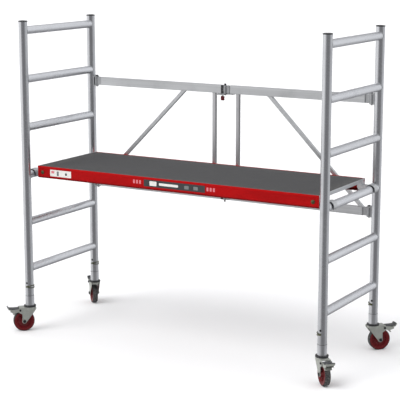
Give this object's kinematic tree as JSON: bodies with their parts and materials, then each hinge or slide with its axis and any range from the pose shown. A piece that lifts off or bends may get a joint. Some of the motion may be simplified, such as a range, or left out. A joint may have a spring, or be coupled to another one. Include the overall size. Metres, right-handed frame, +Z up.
{
  "type": "folding frame scaffold section",
  "caption": "Folding room scaffold: two ladder frames joined by a hinged guard leaf, with a hook-on deck and braked swivel castors.",
  "frame": {"origin": "on the floor, below the middle of the section: half way between the two ladder frames and half way between the front and back uprights", "axes": "+X from the left frame to the right frame, +Y from the open front towards the guard leaves at the back, +Z up"},
  "size_m": [2.1472, 0.9032, 1.839],
  "materials": {
    "upright_tube": "extruded, mill finish, faint draw lines",
    "rung_tube": "extruded, satin",
    "leaf_tube": "extruded, mill finish",
    "cast_fitting": "sand cast, matt",
    "deck_frame": "extruded, mill finish",
    "zinc_plate": "pressed steel, bright zinc",
    "yellow_zinc": "yellow passivated zinc",
    "black_steel": "black oxide",
    "black_plastic": "moulded, fine grain",
    "red_plastic": "moulded",
    "red_rail": "powder coated",
    "deck_board": "anti-slip phenolic film on plywood",
    "wheel_red": "moulded, satin",
    "wheel_tread": "solid rubber, matt"
  },
  "bodies": {
    "left_frame": {"left_front_upright": "upright_tube", "left_back_upright": "upright_tube", "left_rungs": "rung_tube", "left_end_caps": "black_plastic", "left_castor_stems": "zinc_plate", "left_lock_clips": "yellow_zinc", "left_hinge_brackets": "cast_fitting", "left_hinge_pins": "black_steel"},
    "right_frame": {"right_front_upright": "upright_tube", "right_back_upright": "upright_tube", "right_rungs": "rung_tube", "right_end_caps": "black_plastic", "right_castor_stems": "zinc_plate", "right_lock_clips": "yellow_zinc", "right_hinge_brackets": "cast_fitting", "right_hinge_pins": "black_steel"},
    "left_leaf": {"left_top_rail": "leaf_tube", "left_lower_rail": "leaf_tube", "left_leaf_post": "leaf_tube", "left_leaf_brace": "leaf_tube", "left_rail_knuckles": "cast_fitting", "left_centre_hinge": "cast_fitting", "centre_hinge_pins": "black_steel", "latch_housing": "cast_fitting"},
    "right_leaf": {"right_top_rail": "leaf_tube", "right_lower_rail": "leaf_tube", "right_leaf_post": "leaf_tube", "right_leaf_brace": "leaf_tube", "right_rail_knuckles": "cast_fitting", "right_centre_hinge": "cast_fitting"},
    "latch": {"latch_plunger": "zinc_plate", "latch_knob": "red_plastic"},
    "deck": {"front_side_rail": "red_rail", "back_side_rail": "red_rail", "deck_end_beams": "deck_frame", "cross_members": "deck_frame", "deck_board": "deck_board", "rail_bolts": "yellow_zinc", "deck_claws": "deck_frame", "claw_liners": "black_plastic"},
    "left_front_swivel": {"left_front_fork": "zinc_plate", "left_front_fork_pins": "black_steel"},
    "left_front_wheel": {"left_front_hub": "wheel_red", "left_front_tyre": "wheel_tread"},
    "left_front_brake": {"left_front_pedal": "zinc_plate"},
    "left_back_swivel": {"left_back_fork": "zinc_plate", "left_back_fork_pins": "black_steel"},
    "left_back_wheel": {"left_back_hub": "wheel_red", "left_back_tyre": "wheel_tread"},
    "left_back_brake": {"left_back_pedal": "zinc_plate"},
    "right_front_swivel": {"right_front_fork": "zinc_plate", "right_front_fork_pins": "black_steel"},
    "right_front_wheel": {"right_front_hub": "wheel_red", "right_front_tyre": "wheel_tread"},
    "right_front_brake": {"right_front_pedal": "zinc_plate"},
    "right_back_swivel": {"right_back_fork": "zinc_plate", "right_back_fork_pins": "black_steel"},
    "right_back_wheel": {"right_back_hub": "wheel_red", "right_back_tyre": "wheel_tread"},
    "right_back_brake": {"right_back_pedal": "zinc_plate"}
  },
  "joints": [
    {"name": "left_leaf_hinge", "type": "hinge", "parent": "left_frame", "child": "left_leaf", "pos_m": [-0.918, 0.337, 1.1165], "axis": [0, 0, 1], "range_deg": [0, 80]},
    {"name": "centre_hinge", "type": "hinge", "parent": "left_leaf", "child": "right_leaf", "pos_m": [0, 0.322, 1.1165], "axis": [0, 0, 1], "range_deg": [-160, 0]},
    {"name": "right_leaf_hinge", "type": "hinge", "parent": "right_leaf", "child": "right_frame", "pos_m": [0.918, 0.337, 1.1165], "axis": [0, 0, 1], "range_deg": [0, 80]},
    {"name": "deck_lift", "type": "hinge", "parent": "left_frame", "child": "deck", "pos_m": [-0.959, 0, 0.941], "axis": [0, -1, 0], "range_deg": [0, 14]},
    {"name": "latch_slide", "type": "slide", "parent": "left_leaf", "child": "latch", "axis": [0, 0, 1], "range_m": [0, 0.004]},
    {"name": "left_front_swivel", "type": "hinge", "parent": "left_frame", "child": "left_front_swivel", "pos_m": [-0.959, -0.337, 0.14], "axis": [0, 0, 1], "continuous": true},
    {"name": "left_front_wheel_spin", "type": "hinge", "parent": "left_front_swivel", "child": "left_front_wheel", "pos_m": [-0.98587, -0.36387, 0.0625], "axis": [0.7071, -0.7071, 0], "continuous": true},
    {"name": "left_front_brake_pedal", "type": "hinge", "parent": "left_front_swivel", "child": "left_front_brake", "pos_m": [-1.00284, -0.38084, 0.131], "axis": [0.7071, -0.7071, 0], "range_deg": [0, 12]},
    {"name": "left_back_swivel", "type": "hinge", "parent": "left_frame", "child": "left_back_swivel", "pos_m": [-0.959, 0.337, 0.14], "axis": [0, 0, 1], "continuous": true},
    {"name": "left_back_wheel_spin", "type": "hinge", "parent": "left_back_swivel", "child": "left_back_wheel", "pos_m": [-0.98587, 0.36387, 0.0625], "axis": [-0.7071, -0.7071, 0], "continuous": true},
    {"name": "left_back_brake_pedal", "type": "hinge", "parent": "left_back_swivel", "child": "left_back_brake", "pos_m": [-1.00284, 0.38084, 0.131], "axis": [-0.7071, -0.7071, 0], "range_deg": [0, 12]},
    {"name": "right_front_swivel", "type": "hinge", "parent": "right_frame", "child": "right_front_swivel", "pos_m": [0.959, -0.337, 0.14], "axis": [0, 0, 1], "continuous": true},
    {"name": "right_front_wheel_spin", "type": "hinge", "parent": "right_front_swivel", "child": "right_front_wheel", "pos_m": [0.98587, -0.36387, 0.0625], "axis": [0.7071, 0.7071, 0], "continuous": true},
    {"name": "right_front_brake_pedal", "type": "hinge", "parent": "right_front_swivel", "child": "right_front_brake", "pos_m": [1.00284, -0.38084, 0.131], "axis": [0.7071, 0.7071, 0], "range_deg": [0, 12]},
    {"name": "right_back_swivel", "type": "hinge", "parent": "right_frame", "child": "right_back_swivel", "pos_m": [0.959, 0.337, 0.14], "axis": [0, 0, 1], "continuous": true},
    {"name": "right_back_wheel_spin", "type": "hinge", "parent": "right_back_swivel", "child": "right_back_wheel", "pos_m": [0.98587, 0.36387, 0.0625], "axis": [-0.7071, 0.7071, 0], "continuous": true},
    {"name": "right_back_brake_pedal", "type": "hinge", "parent": "right_back_swivel", "child": "right_back_brake", "pos_m": [1.00284, 0.38084, 0.131], "axis": [-0.7071, 0.7071, 0], "range_deg": [0, 12]}
  ],
  "couplings": [
    {"joint": "centre_hinge", "follows": "left_leaf_hinge", "ratio": -2},
    {"joint": "right_leaf_hinge", "follows": "left_leaf_hinge", "ratio": 1},
    {"joint": "deck_lift", "follows": "left_leaf_hinge", "ratio": 0.17}
  ]
}
